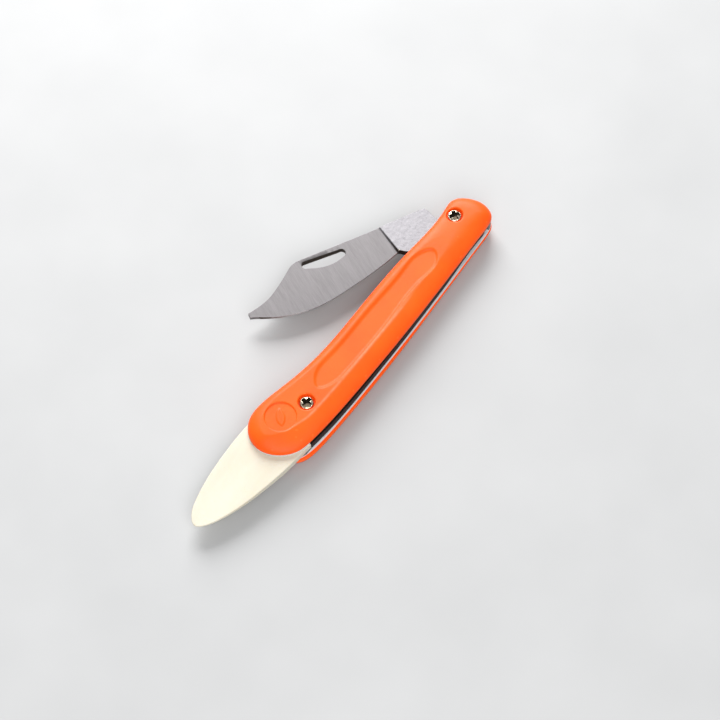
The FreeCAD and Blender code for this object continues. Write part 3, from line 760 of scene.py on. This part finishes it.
def make_scale(name, outline, front):
    """One scale, with the share of pale paint on its crease, part scuffing and part painted highlight,
    stored at each point.
    """
    edge_map = distance_map(spline(outline, True, OUTLINE_STEP))
    loop = np.array(outline)
    low = (*(loop.min(axis=0) - MARGIN_ROUND), -MARGIN_ABOVE)
    high = (*(loop.max(axis=0) + MARGIN_ROUND), SCALE_THICK + MARGIN_ABOVE)
    points, quads = surface_net(scale_field(edge_map, RECESS_MAP, front), low, high, SCALE_CELL)
    if front:
        points[:, 2] += FRONT_PARTING
    else:
        points[:, 2] = REAR_PARTING - points[:, 2]
        quads = quads[:, ::-1]
    piece = new_piece(name + "_moulded", points, quads, [ORANGE], "handle", name)
    inside = edge_map(points[:, 0], points[:, 1])
    wear_and_highlight = piece.data.attributes.new("wear_and_highlight", "FLOAT", "POINT")
    wear_and_highlight.data.foreach_set("value", crease_wear_and_highlight(points[:, 0], points[:, 1], inside).astype(np.float32))


make_scale("front_scale", FRONT_BACK + BELLY, front=True)
make_scale("rear_scale", REAR_BACK + BELLY, front=False)

# ---------------------------------------------------------------- liners and spring

ROUNDED = [(0.0, 0.07), (0.02, 0.02), (0.07, 0.0)]
LINER_HALF = 0.35
LINER_INSET = 0.1
SPRING_HALF = 1.55
SPRING_BACK = [
    (-5.2, 9.0), (-4.5, 9.9), (-1.0, 10.5), (19.1, 11.0), (29.1, 11.2), (49.1, 11.3),
    (69.1, 11.0), (79.1, 10.7), (89.1, 10.1), (98.7, 9.0),
]
SPRING_UNDERSIDE = [
    (98.7, 9.0), (98.7, 4.0), (77.0, 4.0), (69.0, 6.5), (12.0, 7.0), (6.0, 5.1), (-4.6, 5.1),
    (-5.2, 9.0),
]


def circle(centre, radius, parts=48):
    return turned_arc(centre, radius, 0, 360, parts)[:-1]


def flat_plate(name, outline, holes, middle, half_thick, finishes, guides=()):
    loops = [outline] + holes
    points, faces = plate(loops, lambda x, y: np.full(len(x), half_thick), [ROUNDED] * len(loops),
                          guides)
    points[:, 2] += middle
    piece = new_piece(name + "_plate", points, faces, finishes, "handle", name)
    sharpen(piece, 40)
    return piece


# Liner finishes: the pale liner steel, its darker painted-shade copy for inner faces, and the spring's
# near-black painted shade for the back wall.
LINER_FINISHES = [LINER, GAP_SHADE_STEEL, SHADED_SPRING]
SHADED_INNER_FACE, SHADED_BACK_WALL = 1, 2
LINER_HOLES = [circle(centre, SHANK_HOLE_RADIUS) for centre in SCREWS]
LINER_HOLES += [circle(centre, RIVET_HOLE_RADIUS) for centre in RIVETS]
SPRING_LINE = spline(SPRING_BACK, False, OUTLINE_STEP)


def make_liner(name, outline, floor, roof, guides=()):
    rim = inset(spline(outline, True, OUTLINE_STEP), LINER_INSET)
    return flat_plate(name, rim, LINER_HOLES, (floor + roof) / 2, LINER_HALF, LINER_FINISHES,
                      guides)


def paint_inside_shade(liner, inward):
    """Paints shade on a liner's inner face with the darker grey steel, standing in for the shade in
    the gap between the liners, but for the ledge that stands out past the spring, which keeps the pale
    finish.
    """
    for face in liner.data.polygons:
        x, y = face.center.x / MM, face.center.y / MM
        past_spring = y > np.interp(x, SPRING_LINE[:, 0], SPRING_LINE[:, 1]) - 0.02
        ledge = x > SPRING_LINE[0, 0] and past_spring
        if face.normal.z * inward > 0.5 and not ledge:
            face.material_index = SHADED_INNER_FACE


def paint_back_wall_shade(liner):
    """Paints shade on a liner's cut edge along the back, up to the end of the spring: there the edge
    takes the spring's dark steel, standing in for the shade it lies in.
    """
    for face in liner.data.polygons:
        at_back = face.center.y / MM > 6.0 and face.center.x / MM < SPRING_BACK[-1][0]
        if at_back and abs(face.normal.z) < 0.9:
            face.material_index = SHADED_BACK_WALL


def make_spring():
    underside = [straight(a, b, OUTLINE_STEP)
                 for a, b in zip(SPRING_UNDERSIDE, SPRING_UNDERSIDE[1:])]
    holes = [circle(centre, RIVET_HOLE_RADIUS) for centre in RIVETS[:2]]
    flat_plate("back_spring", chain(SPRING_LINE, *underside), holes, MID_PLANE, SPRING_HALF,
               [SHADED_SPRING])


front_liner = make_liner("front_liner", FRONT_BACK + BELLY, CENTRE_ROOF, FRONT_PARTING)
paint_inside_shade(front_liner, -1.0)
paint_back_wall_shade(front_liner)
rear_liner = make_liner("rear_liner", REAR_LINER_BACK + BELLY, REAR_PARTING, CENTRE_FLOOR,
                        [SPRING_LINE])
paint_inside_shade(rear_liner, 1.0)
make_spring()

# ---------------------------------------------------------------- blade

BLADE_HALF = 1.35
TANG_RADIUS = 5.0
TANG_START = 40.0
TANG_NOTCH = 300.0
HEEL = (20.45, -9.45)
TANG_END = [(1.9, -8.3), (1.4, -9.7), (1.3, -11.9), (3.2, -13.1), (20.85, -22.75), (43.1, -35.55)]
CLIP = [
    (43.1, -35.55), (45.75, -36.75), (50.75, -36.5), (56.8, -35.85), (60.8, -35.7),
    (64.75, -36.25), (70.55, -38.05),
]
CUTTING_EDGE = [
    (71.45, -36.65), (69.1, -33.15), (65.2, -28.2), (60.95, -24.5), (56.85, -21.45),
    (52.9, -19.15), (48.7, -17.4), (40.5, -14.6), (32.4, -12.15), (24.45, -10.15), HEEL,
]
THUMB_SLOT_BULGE = [(33.15, -24.2), (36.25, -24.95), (39.25, -26.45), (42.1, -28.85), (44.6, -31.9)]
THUMB_SLOT_ENDS = [(43.0, -34.25), (32.25, -27.2)]
THUMB_SLOT_ROUNDS = [(44.9, -33.9), (31.05, -25.6)]
GRIND_CORNER = np.array((16.3, -20.7))
GRIND_TURN = math.radians(-20.75)
GRIND_HALF_ROOT = 1.05
GRIND_SLOPE = math.tan(math.radians(3.8))
GRIND_SHOULDER = 0.7
TIP_FROM = 69.5
HONED_WIDE = 0.20
BORE_RADIUS = 2.55
GRIND_ALONG = np.array((math.cos(GRIND_TURN), math.sin(GRIND_TURN)))
GRIND_UP = np.array((-math.sin(GRIND_TURN), math.cos(GRIND_TURN)))
FROSTED_FACE, GROUND_FACE, HONED_FACE, SHADED_WALL_FACE = range(4)


def ground_share(x, y):
    """0 on the tang, 1 on the ground faces, with a short shoulder between."""
    along = (x - GRIND_CORNER[0]) * GRIND_ALONG[0] + (y - GRIND_CORNER[1]) * GRIND_ALONG[1]
    return eased(along, 0.0, GRIND_SHOULDER)


def blade_half(x, y):
    up = (x - GRIND_CORNER[0]) * GRIND_UP[0] + (y - GRIND_CORNER[1]) * GRIND_UP[1]
    ground = np.clip(GRIND_HALF_ROOT - GRIND_SLOPE * up, 0.05, BLADE_HALF)
    share = ground_share(x, y)
    return BLADE_HALF + (ground - BLADE_HALF) * share


def on_tang(turn):
    """The place on the tang's round end at that angle in degrees."""
    angle = math.radians(turn)
    return (TANG_RADIUS * math.cos(angle), TANG_RADIUS * math.sin(angle))


def make_blade():
    tang_line = [on_tang(TANG_NOTCH)] + TANG_END
    heel_line = [HEEL, (19.35, -6.8), (17.0, -4.2), on_tang(TANG_START)]
    runs = [turned_arc((0, 0), TANG_RADIUS, TANG_START, TANG_NOTCH, 56)]
    runs += [straight(a, b, 0.5) for a, b in zip(tang_line, tang_line[1:])]
    runs += [spline(CLIP, False, 0.5), straight(CLIP[-1], CUTTING_EDGE[0], 0.5)]
    before_edge = sum(len(run) - 1 for run in runs)
    edge_run = spline(CUTTING_EDGE, False, 0.5)
    runs += [edge_run]
    runs += [straight(a, b, 0.5) for a, b in zip(heel_line, heel_line[1:])]
    outline = chain(*runs)

    # Along the cutting edge a narrow honed bevel takes the rounding's place.
    honed = np.zeros(len(outline))
    count = len(edge_run)
    fade = np.minimum(np.minimum(np.arange(count), np.arange(count)[::-1]) / 4.0, 1.0)
    honed[before_edge:before_edge + count] = fade
    half = blade_half(outline[:, 0], outline[:, 1])
    rim = 0.06 + (np.maximum(half - 0.03, 0.02) - 0.06) * honed
    rows = [(0.0 * honed, rim), (0.02 + 0.10 * honed, rim * (0.3 + 0.25 * honed)),
            (0.06 + 0.20 * honed, 0.0 * honed)]

    far, near = THUMB_SLOT_ENDS
    far_round, near_round = THUMB_SLOT_ROUNDS
    slot = chain(
        spline(THUMB_SLOT_BULGE, False, 0.4),
        arc_through(THUMB_SLOT_BULGE[-1], far_round, far, 14),
        straight(far, near, 0.4),
        arc_through(near, near_round, THUMB_SLOT_BULGE[0], 14),
    )
    bore = circle((0, 0), BORE_RADIUS, 64)
    reach = np.linspace(-2.0, 14.0, 30)
    guides = [GRIND_CORNER + GRIND_UP * reach[:, None] + GRIND_ALONG * at
              for at in GRIND_SHOULDER * np.linspace(0, 1, 6)]
    loops = [outline, slot, bore]
    points, faces = plate(loops, blade_half, [rows, ROUNDED, ROUNDED], guides)
    centres = np.array([points[face].mean(axis=0) for face in faces])
    ground = ground_share(centres[:, 0], centres[:, 1]) > 0.9
    at_edge = nearest(centres[:, :2], edge_run) < HONED_WIDE
    kinds = np.where(ground, GROUND_FACE, FROSTED_FACE)
    kinds = np.where(at_edge, HONED_FACE, kinds)
    points[:, 2] += MID_PLANE
    finishes = [FROSTED, GROUND, HONED, SHADED_WALL_STEEL]
    piece = new_piece("blade_ground", points, faces, finishes, "blade", "blade", kinds)
    # Painted shade: upright walls short of the tip take the dark brown steel; the walls at the tip
    # keep their lit finish.
    for face in piece.data.polygons:
        upright = abs(face.normal.z) < 0.5 and face.center.x / MM < TIP_FROM
        if upright and face.material_index != HONED_FACE:
            face.material_index = SHADED_WALL_FACE
    sharpen(piece, 24)


def nearest(points, run):
    """Each point's distance to the nearest point of a run."""
    gap = np.hypot(points[:, None, 0] - run[None, :, 0], points[:, None, 1] - run[None, :, 1])
    return gap.min(axis=1)


make_blade()

# ---------------------------------------------------------------- bark lifter

LIFTER_ROOT = [(83.0, -7.4), (83.0, 3.6), (99.0, 3.6), (99.0, 8.8)]
LIFTER_BLADE = [
    (99.0, 8.8), (104.1, 8.2), (108.6, 7.7), (114.5, 6.7), (120.5, 5.4), (129.5, 3.0),
    (136.5, 0.3), (141.6, -2.6), (144.0, -5.8), (141.8, -8.7), (136.3, -10.9), (129.4, -12.2),
    (120.9, -12.9), (107.4, -12.9), (98.9, -11.9), (90.9, -9.9), (83.0, -7.4),
]
LIFTER_HALF = 1.55
LIFTER_ROUNDING = 0.35
LIFTER_TAPER_FROM = 111.0
LIFTER_SLOPE = math.tan(math.radians(2.1))


def lifter_half(x, y):
    """Half the lifter's thickness, the same at every y."""
    return LIFTER_HALF - LIFTER_SLOPE * np.maximum(x - LIFTER_TAPER_FROM, 0.0)


def make_lifter():
    runs = [straight(a, b, 0.7) for a, b in zip(LIFTER_ROOT, LIFTER_ROOT[1:])]
    outline = chain(*runs, spline(LIFTER_BLADE, False, 0.7))
    rim = np.minimum(LIFTER_ROUNDING, lifter_half(outline[:, 0], outline[:, 1]) * 0.7)
    rows = []
    for turn in (0, 22.5, 45, 67.5, 90):
        angle = math.radians(turn)
        rows.append((rim * (1 - math.cos(angle)), rim * (1 - math.sin(angle))))
    loops = [outline, circle(SCREWS[1], SHANK_HOLE_RADIUS), circle(RIVETS[2], RIVET_HOLE_RADIUS)]
    line = np.column_stack([np.full(30, LIFTER_TAPER_FROM), np.linspace(-10.8, 7.8, 30)])
    points, faces = plate(loops, lifter_half, [rows, ROUNDED, ROUNDED], [line])
    points[:, 2] += MID_PLANE
    piece = new_piece("bark_lifter_moulded", points, faces, [CREAM], "handle",
                      "bark_lifter")
    sharpen(piece, 40)


make_lifter()

# ---------------------------------------------------------------- fasteners

HEAD_RADIUS = 2.45
DOME_RADIUS = 4.94
DOME_BELOW = 3.64
HEAD_FLOOR = FRONT_PARTING + SCALE_THICK - SEAT_DEEP
THREAD_PITCH = 0.5
SHANK_LONG = 10.4
CROSS_HALF_WIDE = 0.70
CROSS_REACH = 1.95
SCREW_THREAD_RADIUS = 1.47
SCREW_THREAD_DEEP = 0.2
NUT_HIGH = 2.2
NUT_HALF_FLATS = 2.75
NUT_BEVEL_RADIUS = 3.25
NUT_THREAD_RADIUS = 1.62
NUT_THREAD_DEEP = 0.12
NUT_FLOOR = 0.4


def thread(x, y, z, radius, depth):
    """A helical wave about the radius."""
    turn = np.arctan2(y, x) / (2 * math.pi) + z / THREAD_PITCH
    wave = np.abs((turn % 1.0) - 0.5) * 2
    return radius - depth * wave - np.hypot(x, y)


def cross_recess(x, y, z):
    """How far inside the cross recess each place is, its arms flared at the top."""
    arm_one = np.minimum(CROSS_HALF_WIDE - np.abs(x), CROSS_REACH - np.abs(y))
    arm_two = np.minimum(CROSS_HALF_WIDE - np.abs(y), CROSS_REACH - np.abs(x))
    cross = np.maximum(arm_one, arm_two) + 0.2 * (z - 1.0)
    return soft_min(cross, z - 0.3 - 0.2 * np.hypot(x, y), 0.1)


def screw_field(x, y, z):
    """A pan head screw with a cross recess, its head's seat at z = 0."""
    r = np.hypot(x, y)
    dome = DOME_RADIUS - np.hypot(r, z + DOME_BELOW)
    head = soft_min(soft_min(HEAD_RADIUS - r, dome, 0.35), z, 0.08)
    head = cut_away(head, cross_recess(x, y, z), 0.08)
    shank = soft_min(thread(x, y, z, SCREW_THREAD_RADIUS, SCREW_THREAD_DEEP),
                     np.minimum(0.2 - z, z + SHANK_LONG), 0.1)
    return added(head, shank, 0.1)


def make_screw(name, centre, turn):
    spin = math.radians(turn)

    def field(x, y, z):
        return screw_field(x * math.cos(spin) + y * math.sin(spin),
                           y * math.cos(spin) - x * math.sin(spin), z)

    low, high = (-2.8, -2.8, -SHANK_LONG - 0.3), (2.8, 2.8, 1.6)
    points, quads = surface_net(field, low, high, 0.1)
    middle = points[quads].mean(axis=1)
    across = middle[:, 0] * math.cos(spin) + middle[:, 1] * math.sin(spin)
    along = middle[:, 1] * math.cos(spin) - middle[:, 0] * math.sin(spin)
    # Painted shade: faces in the cross recess take the near-black plate.
    shaded_hollow = np.hypot(middle[:, 0], middle[:, 1]) < 2.0
    shaded_hollow &= cross_recess(across, along, middle[:, 2]) > -0.06
    shaded_hollow &= middle[:, 2] > 0.2
    points += np.array((centre[0], centre[1], HEAD_FLOOR))
    new_piece(name + "_plated", points, quads, [SCREW, SHADED_HOLLOW], "handle",
              name, shaded_hollow.astype(int))


def nut_field(x, y, z):
    """A hexagonal nut with a threaded bore, both faces bevelled."""
    r = np.hypot(x, y)
    body = soft_min(hexagon(x, y, (0, 0), NUT_HALF_FLATS), soft_min(z, NUT_HIGH - z, 0.08), 0.1)
    cone = (NUT_BEVEL_RADIUS + 1.2 * np.minimum(z, NUT_HIGH - z) - r) * 0.7
    body = soft_min(body, cone, 0.08)
    bore = -thread(x, y, z, NUT_THREAD_RADIUS, NUT_THREAD_DEEP)
    return soft_min(body, bore, 0.08)


def make_nut(name, centre):
    points, quads = surface_net(nut_field, (-3.5, -3.5, -0.3), (3.5, 3.5, 2.5), 0.11)
    points += np.array((centre[0], centre[1], NUT_FLOOR))
    new_piece(name + "_plated", points, quads, [NUT], "handle", name)


for screw, nut, centre, turn in (("pivot_screw", "pivot_nut", SCREWS[0], -35.0),
                                 ("tail_screw", "tail_nut", SCREWS[1], -5.0)):
    make_screw(screw, centre, turn)
    make_nut(nut, centre)

# The sleeve and the rivets are hidden inside, and keep their CAD shapes.
for name, finish in (("pivot_bush", LINER), ("spring_rivet_middle", RIVET),
                     ("spring_rivet_tail", RIVET), ("lifter_rivet", RIVET)):
    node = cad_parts[name]
    for slot in node.material_slots:
        slot.material = finish

# ---------------------------------------------------------------- floor, light and camera

def make_floor():
    """A plain pale floor, barely uneven in tone."""
    finish, tree, shader = principled("floor_white", Roughness=0.55)
    tone = spread(tree, noise(tree, coordinates(tree), 0.02, 3.0), 0.3, 0.7)
    tree.links.new(blend_colours(tree, tone, (0.41, 0.413, 0.416, 1.0), (0.44, 0.443, 0.446, 1.0)),
                   shader.inputs["Base Color"])
    bpy.ops.mesh.primitive_plane_add(size=4.0, location=(0.06, 0.0, 0.0))
    floor = bpy.context.object
    floor.name = "floor"
    floor.data.materials.append(finish)


def make_light(name, place, target, size, power):
    data = bpy.data.lights.new(name, "AREA")
    data.shape = "SQUARE"
    data.size = size
    data.energy = power
    lamp = bpy.data.objects.new(name, data)
    bpy.context.scene.collection.objects.link(lamp)
    lamp.location = place
    aim = Vector(target) - Vector(place)
    lamp.rotation_euler = aim.to_track_quat("-Z", "Y").to_euler()


make_floor()
KNIFE_MIDDLE = (0.065, -0.005, 0.006)
WORLD_STRENGTH = 0.42
make_light("key_light", (-0.60, -0.66, 0.64), KNIFE_MIDDLE, size=0.80, power=22.0)
make_light("back_light", (0.50, 0.45, 0.72), KNIFE_MIDDLE, size=0.80, power=7.5)

world = bpy.data.worlds.new("studio")
world.use_nodes = True
world.node_tree.nodes["Background"].inputs["Color"].default_value = (1.0, 1.0, 1.0, 1.0)
world.node_tree.nodes["Background"].inputs["Strength"].default_value = WORLD_STRENGTH
bpy.context.scene.world = world
bpy.context.scene.view_settings.view_transform = "Standard"

CAMERA_PLACE = Vector((0.32014, 0.19402, 0.60459))
CAMERA_AIM = Vector((0.06319, 0.00362, 0.00600))
CAMERA_ROLL = 1.873
CAMERA_LENS = 99.9
camera_data = bpy.data.cameras.new("camera")
camera_data.lens = CAMERA_LENS
camera_data.sensor_width = 36.0
camera = bpy.data.objects.new("camera", camera_data)
bpy.context.scene.collection.objects.link(camera)
look = (CAMERA_AIM - CAMERA_PLACE).to_track_quat("-Z", "Y").to_matrix()
roll = Matrix.Rotation(math.radians(-CAMERA_ROLL), 3, "Z")
camera.matrix_world = Matrix.Translation(CAMERA_PLACE) @ (look @ roll).to_4x4()
bpy.context.scene.camera = camera

bpy.context.view_layer.update()
